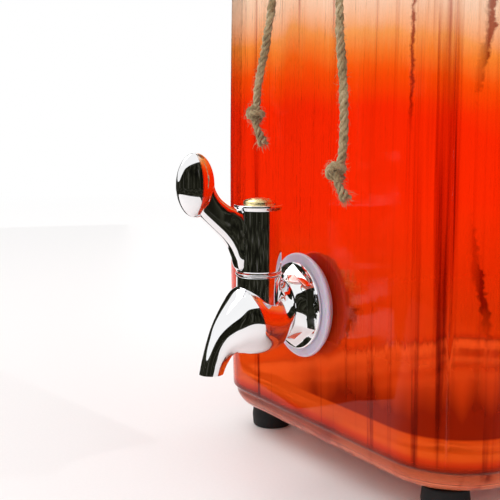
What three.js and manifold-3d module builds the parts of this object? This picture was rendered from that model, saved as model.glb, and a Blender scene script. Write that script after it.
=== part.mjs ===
// A glass beverage dispenser: a square jar on four rubber feet, a chrome lever tap through its front
// wall, a turned wooden lid, and jute twine tied round the neck with two knotted ends hanging down.
// Millimetres. +X is to the right, -Y is the front, +Z is up, and Z = 0 is the surface it stands on.
import * as THREE from "three";
import { mergeVertices } from "three/addons/utils/BufferGeometryUtils.js";
import Module from "manifold-3d";

const wasm = await Module();
wasm.setup();

// Driving dimensions
const GAP = 0.3; // kept between pieces that touch
const FOOT_HEIGHT = 9.7;
const FOOT_RADIUS = 8.2;
const FOOT_X = 55.4;
const FOOT_Y = 57;

const JAR_HALF = 75.9; // half the side of the square at the fullest height of the wall
const JAR_FULLEST_Z = 105;
const JAR_BOW = 0.9; // how much the wall draws in, 85 mm above or below that height
const JAR_CORNER = 0.33; // corner radius as a share of the half side
const JAR_WALL = 5.2;
const JAR_UNDERSIDE = FOOT_HEIGHT + GAP;
const JAR_HEEL = 8.5;
const JAR_FLOOR = 24;
const JAR_INNER_HEEL = 9;
const SHOULDER_Z = 194;
const NECK_Z = 222;
const NECK_RADIUS = 54;
const MOUTH_RADIUS = 49;
const RIM_RADIUS = 57;
const RIM_Z = 250;

const TAP_FACE = 75.4; // the tap's datum plane, in front of the jar's axis
const TAP_HEIGHT = 62.5; // its inlet above the table
const HUB_FORWARD = 20.7; // the lever's axis in front of the datum plane
const NECK_STUB_RADIUS = 7.9;
const COLLAR_TURN = 4;
const HUB_RADIUS = 8;
const HUB_BOTTOM = 13.6;
const HUB_TOP = 36.2;
const SHANK_RADIUS = 7.8;
const SHANK_END = -17;
const CHAMBER_RADIUS = 4.6;
const STEM_RADIUS = 4.2;
const STEM_SHAFT = 3;
const EGG_HALF_THICKNESS = 3.5;
const EGG_HALF_DEPTH = 7;
const EGG_HALF_HEIGHT = 10.8;
const EGG_FORWARD = 45.2;
const EGG_HEIGHT = 44.3;

const LID_RADIUS = 59;
const LID_THICKNESS = 12;
const LID_PLUG_RADIUS = 46.5;
const LID_PLUG_Z = 240;
const KNOB_RADIUS = 16;
const KNOB_HEIGHT = 29;
const LID_SCREW_RADIUS = 2.4;

const TWINE = 3; // diameter
const WRAP_TURNS = 3;
const WRAP_Z = 227;
const WRAP_PITCH = 3.4;
const TIE = new THREE.Vector3(0.5, -63.2, 230);
const TWINE_LEFT = [
  [-5.2, -66, 226], [-8, -68.6, 220.5], [-10.8, -72, 213.5], [-13.3, -75.6, 206.5],
  [-15.4, -77.6, 199], [-17, -78.3, 191], [-18.9, -78.2, 181], [-20.9, -78.2, 171.5],
  [-23.3, -78.2, 163], [-25.8, -78.2, 155.5], [-28.2, -78.2, 149], [-30.3, -78.2, 143.5],
  [-31.4, -78.3, 139], [-31.3, -78.6, 135.4],
];
const TWINE_RIGHT = [
  [6.2, -66, 226], [9.3, -68.6, 220.5], [12.4, -72, 213.5], [15, -75.6, 206.5],
  [17, -77.6, 199], [18.6, -78.3, 191], [20.2, -78.2, 180], [21.4, -78.2, 168],
  [22.4, -78.2, 155], [23.8, -78.2, 145], [24.8, -78.2, 134.5], [25.2, -78.3, 125],
  [25, -78.6, 116.6],
];
const LEFT_KNOT = new THREE.Vector3(-29.6, -80.2, 130.4);
const RIGHT_KNOT = new THREE.Vector3(23.8, -80.2, 111.4);

// Materials
const finish = (color, roughness, metalness, opacity = 1) =>
  new THREE.MeshStandardMaterial({ color, roughness, metalness, opacity, transparent: opacity < 1 });
const GLASS = finish(0xf03a12, 0.05, 0, 0.6);
const CHROME = finish(0xd9dcdf, 0.06, 1);
const BRASS = finish(0xc9a64b, 0.25, 1);
const STEEL = finish(0xa9adb0, 0.3, 1);
const SILICONE = finish(0xcdbfd6, 0.45, 0);
const RUBBER = finish(0x141414, 0.8, 0);
const WOOD = finish(0x9a6a3c, 0.55, 0);
const JUTE = finish(0xb9a574, 0.95, 0);

// Solids in and out of manifold-3d
function solidOf(geometry) {
  const bare = geometry.index ? geometry.toNonIndexed() : geometry.clone();
  bare.deleteAttribute("normal");
  bare.deleteAttribute("uv");
  const merged = mergeVertices(bare, 1e-4);
  const mesh = new wasm.Mesh({
    numProp: 3,
    vertProperties: merged.attributes.position.array,
    triVerts: new Uint32Array(merged.index.array),
  });
  return new wasm.Manifold(mesh);
}

function geometryOf(solid) {
  const mesh = solid.getMesh();
  const geometry = new THREE.BufferGeometry();
  geometry.setAttribute("position", new THREE.BufferAttribute(mesh.vertProperties, 3));
  geometry.setIndex(new THREE.BufferAttribute(mesh.triVerts, 1));
  return geometry;
}

function join(...geometries) {
  const solids = geometries.map(solidOf);
  return geometryOf(solids.reduce((whole, solid) => whole.add(solid)));
}

function cut(geometry, ...tools) {
  const solids = tools.map(solidOf);
  return geometryOf(solids.reduce((rest, tool) => rest.subtract(tool), solidOf(geometry)));
}

// A solid of revolution about Z. The profile lists [radius, height] and runs upward on the outside.
function turned(profile, segments) {
  const points = profile.map(([radius, height]) => new THREE.Vector2(radius, height));
  return new THREE.LatheGeometry(points, segments).rotateX(Math.PI / 2);
}

// The same about the Y axis, with the profile's height running forward, which is -Y.
function turnedForward(profile, segments) {
  return turned(profile, segments).rotateX(Math.PI / 2);
}

// A ring whose profile closes on itself.
const ring = (inner, outer, low, high) => [
  [inner, low], [outer, low], [outer, high], [inner, high], [inner, low],
];

const rod = (radius, low, high) => [[0, low], [radius, low], [radius, high], [0, high]];

// Points of a circular arc, in degrees, for the rounded part of a profile.
function arc(centreX, centreY, radius, from, to, steps) {
  return Array.from({ length: steps + 1 }, (_, i) => {
    const angle = THREE.MathUtils.degToRad(from + ((to - from) * i) / steps);
    return [centreX + radius * Math.cos(angle), centreY + radius * Math.sin(angle)];
  });
}

// Moves each vertex of a turned solid to the distance from Z that reach(angle, radius, height) gives.
function reshape(geometry, reach, turn = (angle) => angle) {
  const position = geometry.attributes.position;
  for (let i = 0; i < position.count; i++) {
    const x = position.getX(i);
    const y = position.getY(i);
    const angle = turn(Math.atan2(y, x));
    const distance = reach(angle, Math.hypot(x, y), position.getZ(i));
    position.setX(i, distance * Math.cos(angle));
    position.setY(i, distance * Math.sin(angle));
  }
  return geometry;
}

// A closed solid through rings of points, all of one length.
function loft(rings) {
  const sides = rings[0].length;
  const last = rings.length - 1;
  const centre = (points) => points.reduce((sum, p) => sum.add(p), new THREE.Vector3())
    .divideScalar(points.length);
  const corners = [...rings.flat(), centre(rings[0]), centre(rings[last])];
  const faces = [];
  for (let i = 0; i < sides; i++) {
    const next = (i + 1) % sides;
    for (let j = 0; j < last; j++) {
      const low = j * sides;
      const high = low + sides;
      faces.push(low + i, high + next, low + next, low + i, high + i, high + next);
    }
    faces.push(corners.length - 2, i, next);
    faces.push(corners.length - 1, last * sides + next, last * sides + i);
  }
  const geometry = new THREE.BufferGeometry().setFromPoints(corners);
  geometry.setIndex(faces);
  return geometry;
}

// A swelling arm in the YZ plane. Each station gives its upper point and its lower point as
// [forward, height], and its half width in X. Its sections are ellipses, or squarer where the squareness is over 2.
function limb(stations, sections, sides, squareness = 2) {
  const swell = (value) => Math.sign(value) * Math.abs(value) ** (2 / squareness);
  const spline = (points) => new THREE.CatmullRomCurve3(points, false, "centripetal");
  const upper = spline(stations.map(({ top }) => new THREE.Vector3(0, -top[0], top[1])));
  const lower = spline(stations.map(({ foot }) => new THREE.Vector3(0, -foot[0], foot[1])));
  const width = spline(stations.map(({ half }, i) => new THREE.Vector3(i * 10, half, 0)));
  const rings = Array.from({ length: sections + 1 }, (_, j) => {
    const t = j / sections;
    const top = upper.getPoint(t);
    const foot = lower.getPoint(t);
    const middle = top.clone().add(foot).multiplyScalar(0.5);
    const reach = top.clone().sub(middle);
    const half = width.getPoint(t).y;
    return Array.from({ length: sides }, (_, i) => {
      const angle = (2 * Math.PI * i) / sides;
      const point = middle.clone().addScaledVector(reach, swell(Math.cos(angle)));
      point.x = half * swell(Math.sin(angle));
      return point;
    });
  });
  return loft(rings);
}

// A tube along a curve.
function tube(curve, diameter, sides, steps) {
  const corners = Array.from({ length: sides }, (_, i) => {
    const angle = (2 * Math.PI * i) / sides;
    return new THREE.Vector2(Math.cos(angle), Math.sin(angle)).multiplyScalar(diameter / 2);
  });
  return new THREE.ExtrudeGeometry(new THREE.Shape(corners), { steps, extrudePath: curve });
}

function part(name, geometry, material) {
  const mesh = new THREE.Mesh(geometry, material);
  mesh.name = name;
  return mesh;
}

// The jar

const wallHalf = (z) => JAR_HALF - JAR_BOW * ((z - JAR_FULLEST_Z) / 85) ** 2;

// The distance from the axis to a rounded square, which becomes a circle above the shoulder.
function jarReach(angle, half, z) {
  const round = THREE.MathUtils.smoothstep(z, SHOULDER_Z - 6, NECK_Z - 4);
  const corner = half * THREE.MathUtils.lerp(JAR_CORNER, 1, round);
  const centre = half - corner;
  const along = Math.max(Math.abs(Math.cos(angle)), Math.abs(Math.sin(angle)));
  const across = Math.min(Math.abs(Math.cos(angle)), Math.abs(Math.sin(angle)));
  if ((across / along) * half <= centre) return half / along;
  const sum = centre * (along + across);
  return sum + Math.sqrt(sum * sum - 2 * centre * centre + corner * corner);
}

function jar() {
  const heelX = wallHalf(JAR_UNDERSIDE + JAR_HEEL) - JAR_HEEL;
  const innerHeelZ = JAR_FLOOR + JAR_INNER_HEEL;
  const innerHeelX = wallHalf(innerHeelZ) - JAR_WALL - JAR_INNER_HEEL;
  const profile = [
    [0, JAR_UNDERSIDE],
    ...arc(heelX, JAR_UNDERSIDE + JAR_HEEL, JAR_HEEL, -90, 0, 4),
    ...[JAR_FULLEST_Z, SHOULDER_Z].map((z) => [wallHalf(z), z]),
    [73.6, 203], [69, 211], [61, 217.5], [55.4, NECK_Z + 1],
    [NECK_RADIUS, NECK_Z + 6],
    [NECK_RADIUS, RIM_Z - 10],
    ...arc(RIM_RADIUS - 4, RIM_Z - 4, 4, -40, 90, 3),
    [MOUTH_RADIUS + 1, RIM_Z],
    [MOUTH_RADIUS, RIM_Z - 1],
    [MOUTH_RADIUS, NECK_Z + 4],
    [52, NECK_Z - 4], [61, 209], [68, 200], [70, SHOULDER_Z - 3],
    [wallHalf(JAR_FULLEST_Z) - JAR_WALL, JAR_FULLEST_Z],
    ...arc(innerHeelX, innerHeelZ, JAR_INNER_HEEL, 0, -90, 3),
    [0, JAR_FLOOR - 1],
  ];
  const crowdCorners = (angle) => angle + 0.13 * Math.sin(4 * angle);
  const body = reshape(turned(profile, 40), jarReach, crowdCorners);
  const hole = turnedForward(rod(SHANK_RADIUS + 0.9, 50, 90), 24);
  hole.translate(0, 0, TAP_HEIGHT);
  return part("glass_jar", cut(body, hole), GLASS);
}

function foot(name, x, y) {
  const mesh = part(name, turned([
    [0, 0],
    [FOOT_RADIUS - 0.6, 0],
    [FOOT_RADIUS, 0.8],
    [FOOT_RADIUS - 0.4, FOOT_HEIGHT],
    [0, FOOT_HEIGHT],
  ], 20), RUBBER);
  mesh.position.set(x, y, 0);
  return mesh;
}

// The tap, in its own frame: the origin is where its axis meets the datum plane.

const BODY_STATIONS = [
  { top: [12.15, 10.2], foot: [12.15, -10.6], half: 10.3 },
  { top: [13.1, 7.4], foot: [13.1, -12.2], half: 10.2 },
  { top: [15.4, 5.2], foot: [15, -14.2], half: 10.3 },
  { top: [20.7, 6.4], foot: [19.5, -15.5], half: 10.6 },
  { top: [25.6, 8.8], foot: [24, -15.5], half: 10.8 },
  { top: [29.2, 8.2], foot: [27.8, -14.8], half: 10 },
  { top: [32.6, 4.3], foot: [30.6, -14.4], half: 8.6 },
  { top: [36, -0.2], foot: [31.8, -14.8], half: 7 },
  { top: [38.9, -5], foot: [32.6, -15.6], half: 5.6 },
  { top: [41.2, -10.6], foot: [33.4, -17], half: 4.7 },
  { top: [42.8, -15.8], foot: [34.4, -18.6], half: 4.35 },
  { top: [43.9, -20.8], foot: [35.4, -20.8], half: 4.25 },
];

const PASSAGE = [
  { top: [22.5, 2.6], foot: [22.5, -2.6], half: 2.6 },
  { top: [28.6, 2.4], foot: [27, -2.8], half: 2.6 },
  { top: [33, -1.4], foot: [29.6, -5.6], half: 2.6 },
  { top: [36.6, -7], foot: [32.4, -10], half: 2.6 },
  { top: [39.8, -12.6], foot: [35, -14.4], half: 2.6 },
  { top: [42.2, -21.8], foot: [37, -21.8], half: 2.6 },
];

function tapBody() {
  const neck = turned(rod(NECK_STUB_RADIUS, -6, HUB_BOTTOM - 1.4), 28).translate(0, -HUB_FORWARD, 0);
  const barrel = turnedForward(rod(SHANK_RADIUS, SHANK_END, 14), 28);
  const chamber = turned(rod(CHAMBER_RADIUS, -8, 20), 20).translate(0, -HUB_FORWARD, 0);
  const gland = turned(rod(6, 8.2, 20), 20).translate(0, -HUB_FORWARD, 0);
  const inlet = turnedForward(rod(3.6, SHANK_END - 1, HUB_FORWARD - 2), 16);
  const outside = join(limb(BODY_STATIONS, 20, 24), neck, barrel);
  return part("tap_body", cut(outside, chamber, gland, inlet, limb(PASSAGE, 10, 12)), CHROME);
}

// A chrome ring whose middle is pressed to a hexagon, one corner of it near the top.
function hexCollar() {
  const back = 4.6;
  const flange = 5.9;
  const edge = 7.8;
  const front = 11.8;
  const hexReach = (angle, radius, z) => {
    const rise = THREE.MathUtils.smoothstep(z, flange - 0.1, flange + 0.1);
    const fall = 1 - THREE.MathUtils.clamp((z - edge) / (front - edge), 0, 1);
    const sixth = Math.PI / 3;
    const within = (((angle % sixth) + sixth) % sixth) - sixth / 2;
    const flat = Math.cos(sixth / 2) / Math.cos(within);
    return radius > SHANK_RADIUS + 2 ? radius * THREE.MathUtils.lerp(1, flat, rise * fall) : radius;
  };
  const bore = SHANK_RADIUS + GAP + 0.3;
  const blank = turned([
    [bore, back], [15.6, back], [15.6, flange - 0.3], [15.3, flange - 0.1], [15.1, flange + 0.1],
    [13.65, edge], [12.1, 9.8], [10.6, front], [bore, front], [bore, back],
  ], 36).rotateZ(Math.PI / 2);
  const turn = THREE.MathUtils.degToRad(COLLAR_TURN);
  return part("hex_collar", reshape(blank, hexReach).rotateZ(turn).rotateX(Math.PI / 2), CHROME);
}

const HEX_NUT_CORNER = 14.5;

function retainingNut() {
  const bore = SHANK_RADIUS + GAP;
  const shape = new THREE.Shape(Array.from({ length: 6 }, (_, i) => {
    const angle = (Math.PI / 3) * i;
    return new THREE.Vector2(Math.cos(angle), Math.sin(angle)).multiplyScalar(HEX_NUT_CORNER);
  }));
  const hole = new THREE.Path();
  hole.absarc(0, 0, bore, 0, 2 * Math.PI, true);
  shape.holes.push(hole);
  const geometry = new THREE.ExtrudeGeometry(shape, { depth: 5.6, bevelEnabled: false, curveSegments: 12 });
  return part("retaining_nut", geometry.rotateX(Math.PI / 2).translate(0, 15.9, 0), STEEL);
}

function valveStem() {
  const blank = turned([
    [0, -7.6], [STEM_RADIUS - 0.4, -7.6], [STEM_RADIUS, -7.2],
    [STEM_RADIUS, 3.2], [2.9, 3.2], [2.9, 4.9], [STEM_RADIUS, 4.9],
    [STEM_RADIUS, 5.4], [2.9, 5.4], [2.9, 7.1], [STEM_RADIUS, 7.1],
    [STEM_RADIUS, 7.8], [STEM_SHAFT, 7.8], [STEM_SHAFT, 29.6], [0, 29.6],
  ], 20);
  const crossHole = turned(rod(2.5, -6, 6), 12).rotateY(Math.PI / 2);
  const screwHole = turned(rod(1.7, 18, 31), 12);
  return part("valve_stem", cut(blank, crossHole, screwHole), BRASS);
}

function oRing(name, height) {
  const section = arc(3.75, height, 0.55, 0, 360, 8);
  return part(name, turned(section, 20), RUBBER);
}

function bonnetRing() {
  return part("bonnet_ring", turned([
    [STEM_SHAFT + 0.4, 8.2], [5.6, 8.2], [5.6, 12.5], [8.1, 12.5],
    [8.1, 13.2], [STEM_SHAFT + 0.4, 13.2], [STEM_SHAFT + 0.4, 8.2],
  ], 28), CHROME);
}

const ARM_STATIONS = [
  { top: [22, 35.2], foot: [22, 13.9], half: 3 },
  { top: [28.6, 35.5], foot: [28.8, 14.4], half: 2.9 },
  { top: [31, 36.2], foot: [30.8, 18.8], half: 2.7 },
  { top: [33, 37.1], foot: [32.5, 22.4], half: 2.5 },
  { top: [35, 38.5], foot: [34.9, 25.6], half: 2.4 },
  { top: [36.7, 40.1], foot: [38, 28.6], half: 2.35 },
  { top: [38.2, 42.5], foot: [41.3, 31.6], half: 2.3 },
  { top: [39.5, 45.7], foot: [43.6, 33.9], half: 2.25 },
  { top: [42.5, 48], foot: [45, 36.5], half: 2.2 },
];
const ARM_SQUARENESS = 4.6;

// The lever's pieces share the hub's axis, so they are built about it and set forward as one group.
function leverHandle() {
  const hub = turned([
    [0, HUB_BOTTOM], [HUB_RADIUS, HUB_BOTTOM], [HUB_RADIUS, HUB_TOP - 0.2],
    [HUB_RADIUS + 0.6, HUB_TOP], [HUB_RADIUS + 0.6, HUB_TOP + 0.7], [0, HUB_TOP + 0.7],
  ], 32);
  const arm = limb(ARM_STATIONS, 18, 20, ARM_SQUARENESS).translate(0, HUB_FORWARD, 0);
  const egg = new THREE.SphereGeometry(1, 20, 14).rotateX(Math.PI / 2);
  egg.scale(EGG_HALF_THICKNESS, EGG_HALF_DEPTH, EGG_HALF_HEIGHT);
  egg.translate(0, HUB_FORWARD - EGG_FORWARD, EGG_HEIGHT);
  const socket = turned(rod(STEM_SHAFT + GAP, HUB_BOTTOM - 1, 30), 20);
  const screwHole = turned(rod(2, 29, 32), 16);
  const well = turned(rod(5.6, 31, HUB_TOP + 2), 24);
  return part("lever_handle", cut(join(hub, arm, egg), socket, screwHole, well), CHROME);
}

function handleScrew() {
  return part("handle_screw", turned([
    [0, 20], [1.4, 20], [1.4, 31.4], [3.4, 31.4], [3.4, 33.4], [0, 33.4],
  ], 16), STEEL);
}

function capButton() {
  return part("cap_button", turned([
    [0, 33.8], [5.2, 33.8], [5.2, 37.3], [4.7, 38.1], [3.6, 38.8], [1.9, 39.3], [0, 39.4],
  ], 24), BRASS);
}

function tap() {
  const group = new THREE.Group();
  group.position.set(0, -TAP_FACE, TAP_HEIGHT);
  const hubPieces = new THREE.Group();
  hubPieces.position.y = -HUB_FORWARD;
  hubPieces.add(
    leverHandle(), handleScrew(), capButton(), valveStem(),
    oRing("stem_o_ring_lower", 4.05), oRing("stem_o_ring_upper", 6.25), bonnetRing(),
  );
  const seal = [
    [8.7, 0.75], [17.6, 0.75], [18.6, 1.5], [18.9, 2.5], [18.6, 3.6], [17.6, 4.3], [8.7, 4.3], [8.7, 0.75],
  ];
  group.add(
    tapBody(), hexCollar(), hubPieces, retainingNut(),
    part("outer_washer", turnedForward(seal, 36), SILICONE),
    part("inner_washer", turnedForward(ring(8.7, 19.3, -8.4, -5.7), 32), SILICONE),
    part("nut_washer", turnedForward(ring(8.4, 16, -10, -8.7), 28), STEEL),
  );
  return group;
}

// The lid

function lid() {
  const top = RIM_Z + GAP + 1.4;
  const bore = LID_SCREW_RADIUS + 0.4;
  const plug = turned([
    [bore, LID_PLUG_Z], [LID_PLUG_RADIUS - 0.8, LID_PLUG_Z], [LID_PLUG_RADIUS, LID_PLUG_Z + 0.8],
    [LID_PLUG_RADIUS, 242.6], [44.4, 242.6], [44.4, 247], [LID_PLUG_RADIUS, 247],
    [LID_PLUG_RADIUS, top], [LID_RADIUS - 1.5, top], [LID_RADIUS, top + 1.5],
    [LID_RADIUS, top + LID_THICKNESS - 2.5], [LID_RADIUS - 0.8, top + LID_THICKNESS - 0.8],
    [LID_RADIUS - 2.5, top + LID_THICKNESS], [bore, top + LID_THICKNESS], [bore, LID_PLUG_Z],
  ], 40);
  const foot = top + LID_THICKNESS + GAP;
  const knob = turned([
    [0, foot], [9.5, foot], [9.2, foot + 2], [7, foot + 5], [7.4, foot + 8], [11, foot + 11],
    [14.6, foot + 14.4], [KNOB_RADIUS, foot + 19], [15, foot + 23.4], [11.6, foot + 26.8],
    [6.2, foot + 28.6], [0, foot + KNOB_HEIGHT],
  ], 28);
  const knobBore = turned(rod(bore, foot - 1, foot + 18), 16);
  const gasket = [
    [44.8, 243], [46.9, 243], [48.4, 244], [48.4, 245.6], [46.9, 246.6], [44.8, 246.6], [44.8, 243],
  ];
  const screw = [
    [0, 235.6], [4, 235.6], [4.6, 236.4], [4.6, 238.4], [LID_SCREW_RADIUS, 238.4],
    [LID_SCREW_RADIUS, foot + 17], [0, foot + 17],
  ];
  const group = new THREE.Group();
  group.add(
    part("lid", plug, WOOD),
    part("lid_gasket", turned(gasket, 36), SILICONE),
    part("lid_knob", cut(knob, knobBore), WOOD),
    part("knob_screw", turned(screw, 16), STEEL),
    part("knob_washer", turned(ring(LID_SCREW_RADIUS + GAP, 8, 238.7, 239.7), 20), STEEL),
  );
  return group;
}

// The twine

class Helix extends THREE.Curve {
  constructor(radius, pitch, turns, low) {
    super();
    Object.assign(this, { radius, pitch, turns, low });
  }

  getPoint(t, target = new THREE.Vector3()) {
    const angle = 2 * Math.PI * this.turns * t - Math.PI / 2;
    const height = this.low + this.pitch * this.turns * t;
    return target.set(this.radius * Math.cos(angle), this.radius * Math.sin(angle), height);
  }
}

function hangingEnd(name, points) {
  const route = new THREE.CatmullRomCurve3(points.map((p) => new THREE.Vector3(...p)));
  return part(name, tube(route, TWINE, 8, 16), JUTE);
}

function knot(name, centre, size) {
  const mesh = part(name, new THREE.SphereGeometry(0.5, 14, 10), JUTE);
  mesh.scale.set(...size);
  mesh.position.copy(centre);
  return mesh;
}

function twine() {
  const wrapRadius = NECK_RADIUS + TWINE / 2 + 1.3;
  const wrap = new Helix(wrapRadius, WRAP_PITCH, WRAP_TURNS, WRAP_Z);
  const group = new THREE.Group();
  group.add(
    part("twine_wrap", tube(wrap, TWINE, 8, 24 * WRAP_TURNS), JUTE),
    knot("twine_tie", TIE, [11, 8, 9.5]),
    hangingEnd("twine_left_end", TWINE_LEFT),
    hangingEnd("twine_right_end", TWINE_RIGHT),
    knot("twine_left_knot", LEFT_KNOT, [8.6, 8, 9]),
    knot("twine_right_knot", RIGHT_KNOT, [8.2, 8, 9.4]),
  );
  return group;
}

// The whole object, with its origin on the table under the middle of its outline without the twine.
const dispenser = new THREE.Group();
dispenser.add(
  jar(),
  foot("foot_front_left", -FOOT_X, -FOOT_Y),
  foot("foot_front_right", FOOT_X, -FOOT_Y),
  foot("foot_back_left", -FOOT_X, FOOT_Y),
  foot("foot_back_right", FOOT_X, FOOT_Y),
  tap(),
  lid(),
);
const outline = new THREE.Box3().setFromObject(dispenser, true);
const shift = -(outline.min.y + outline.max.y) / 2;
dispenser.add(twine());
for (const piece of dispenser.children) piece.position.y += shift;

export default dispenser;
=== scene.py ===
"""Looks of a glass beverage dispenser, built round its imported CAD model.

Sizes are in millimetres and are turned into metres where a mesh is made. +X is to the right, -Y is the
front, where the tap is, and +Z is up from the table.
"""

import math
import random

import bmesh
import bpy
from mathutils import Matrix, Vector


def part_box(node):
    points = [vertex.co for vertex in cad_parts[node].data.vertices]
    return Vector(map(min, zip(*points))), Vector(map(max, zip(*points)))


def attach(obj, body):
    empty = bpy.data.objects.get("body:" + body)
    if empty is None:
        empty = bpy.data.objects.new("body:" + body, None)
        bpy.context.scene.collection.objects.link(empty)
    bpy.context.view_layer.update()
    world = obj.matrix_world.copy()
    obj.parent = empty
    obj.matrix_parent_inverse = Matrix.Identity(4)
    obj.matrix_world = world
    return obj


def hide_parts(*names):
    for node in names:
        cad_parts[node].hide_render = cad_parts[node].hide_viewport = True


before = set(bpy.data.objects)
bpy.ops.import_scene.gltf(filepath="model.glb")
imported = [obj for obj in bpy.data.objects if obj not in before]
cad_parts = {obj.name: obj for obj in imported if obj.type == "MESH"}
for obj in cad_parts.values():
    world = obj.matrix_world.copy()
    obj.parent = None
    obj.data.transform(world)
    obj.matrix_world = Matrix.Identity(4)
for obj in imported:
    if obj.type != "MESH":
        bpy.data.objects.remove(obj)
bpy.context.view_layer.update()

MM = 0.001


def node_box(name):
    """Lowest and highest corner of a CAD node, in millimetres."""
    low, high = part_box(name)
    return low / MM, high / MM


# Places taken from the frame
jar_low, jar_high = node_box("glass_jar")
cap_low, cap_high = node_box("cap_button")
collar_low, collar_high = node_box("hex_collar")
lid_low, lid_high = node_box("lid")
knob_low, knob_high = node_box("lid_knob")
JAR_Y = (jar_low.y + jar_high.y) / 2
HUB_Y = (cap_low.y + cap_high.y) / 2
HUB_FORWARD = 20.7
DATUM_Y = HUB_Y + HUB_FORWARD
INLET_Z = (collar_low.z + collar_high.z) / 2

# The camera stands in front of the jar's right side, a little above the tap, and looks slightly down.
CAMERA_AZIMUTH = math.radians(60.13)
CAMERA_ELEVATION = math.radians(7.44)
CAMERA_RIGHT = 297.4
CAMERA_BEFORE_JAR = 270.4
CAMERA_HEIGHT = 128.5
CAMERA_LENS = 71.8
CAMERA_SENSOR = 36.0


def make_camera():
    data = bpy.data.cameras.new("camera")
    data.lens = CAMERA_LENS
    data.sensor_width = CAMERA_SENSOR
    data.clip_start = 0.01
    camera = bpy.data.objects.new("camera", data)
    bpy.context.collection.objects.link(camera)
    camera.location = Vector((CAMERA_RIGHT, JAR_Y - CAMERA_BEFORE_JAR, CAMERA_HEIGHT)) * MM
    camera.rotation_euler = (math.pi / 2 - CAMERA_ELEVATION, 0, CAMERA_AZIMUTH)
    bpy.context.scene.camera = camera


make_camera()

# ---------------------------------------------------------------- node helpers


def new_material(name):
    material = bpy.data.materials.new(name)
    material.use_nodes = True
    tree = material.node_tree
    return material, tree, tree.nodes["Principled BSDF"]


def node(tree, kind, **settings):
    made = tree.nodes.new(kind)
    for key, value in settings.items():
        if key in made.inputs:
            made.inputs[key].default_value = value
        else:
            setattr(made, key, value)
    return made


def place_coordinates(tree, scale):
    """Object coordinates stretched by a scale for each axis."""
    place = node(tree, "ShaderNodeTexCoord")
    mapping = node(tree, "ShaderNodeMapping", Scale=scale)
    tree.links.new(place.outputs["Object"], mapping.inputs["Vector"])
    return mapping.outputs["Vector"]


def ramp(tree, value, stops):
    """A colour ramp with (position, colour) stops."""
    made = node(tree, "ShaderNodeValToRGB")
    elements = made.color_ramp.elements
    while len(elements) < len(stops):
        elements.new(0.5)
    for element, (position, colour) in zip(elements, stops):
        element.position = position
        element.color = (*colour, 1.0)
    tree.links.new(value, made.inputs["Fac"])
    return made.outputs["Color"]


def span(tree, value, low, high, to_low, to_high):
    made = node(tree, "ShaderNodeMapRange", clamp=True)
    for key, number in (("From Min", low), ("From Max", high), ("To Min", to_low), ("To Max", to_high)):
        made.inputs[key].default_value = number
    tree.links.new(value, made.inputs["Value"])
    return made.outputs["Result"]


def bump(tree, shader, height, strength, distance):
    made = node(tree, "ShaderNodeBump", Strength=strength, Distance=distance)
    tree.links.new(height, made.inputs["Height"])
    tree.links.new(made.outputs["Normal"], shader.inputs["Normal"])
    return made


def noise(tree, vector, scale, detail=4.0, roughness=0.55):
    made = node(tree, "ShaderNodeTexNoise", Scale=scale, Detail=detail, Roughness=roughness)
    tree.links.new(vector, made.inputs["Vector"])
    return made.outputs["Fac"]


def grained(tree, scale, detail=4.0, roughness=0.55):
    """Noise over the object's own coordinates, with a scale for each axis."""
    return noise(tree, place_coordinates(tree, scale), 1.0, detail, roughness)


# ---------------------------------------------------------------- materials


def metal(name, colour, roughness, spread, grain, grain_scale):
    """Plated or polished metal: a faint unevenness in its polish."""
    material, tree, shader = new_material(name)
    shader.inputs["Metallic"].default_value = 1.0
    vector = place_coordinates(tree, grain_scale)
    haze = noise(tree, vector, grain)
    shade = ramp(tree, haze, [(0.3, [c * 0.94 for c in colour]), (0.7, colour)])
    tree.links.new(shade, shader.inputs["Base Color"])
    tree.links.new(span(tree, haze, 0.3, 0.7, roughness, roughness + spread), shader.inputs["Roughness"])
    return material


def maths(tree, operation, *values, clamp=False):
    """A Math node's result. Each value is a number, or the socket that gives it."""
    made = node(tree, "ShaderNodeMath", operation=operation, use_clamp=clamp)
    for i, value in enumerate(values):
        if isinstance(value, (int, float)):
            made.inputs[i].default_value = value
        else:
            tree.links.new(value, made.inputs[i])
    return made.outputs["Value"]


def multiplied(tree, factor, colour, by):
    """A colour multiplied by another, as far as the factor says."""
    made = node(tree, "ShaderNodeMix", data_type="RGBA", blend_type="MULTIPLY")
    for socket, value in ((made.inputs["Factor"], factor), (made.inputs[6], colour), (made.inputs[7], by)):
        if isinstance(value, (float, tuple)):
            socket.default_value = value
        else:
            tree.links.new(value, socket)
    return made.outputs[2]


GLASS_IOR = 1.42
# Colour of the painted shade in the band above the thick base
PAINTED_FOOT_SHADE = (0.34, 0.16, 0.2, 1)
RUN_SHADE = (0.16, 0.04, 0.03, 1)
# Runs of thicker paint: the wall, the place across it low down, its shifts higher up, the heights it fades
# out between, and its least and greatest half width
FRONT_RUN = {
    "wall": JAR_Y * MM - 0.0755,
    "foot": 0.0562,
    "shifts": [(0.13, 0.18, -0.0006)],
    "fades": (0.124, 0.134),
    "widths": (0.0, 0.0010),
}
SIDE_RUN = {
    "wall": 0.0755,
    "foot": JAR_Y * MM - 0.0587,
    "shifts": [(0.066, 0.112, -0.0098), (0.118, 0.156, 0.0085)],
    "fades": (0.058, 0.072),
    "widths": (0.0004, 0.0019),
}
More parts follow.
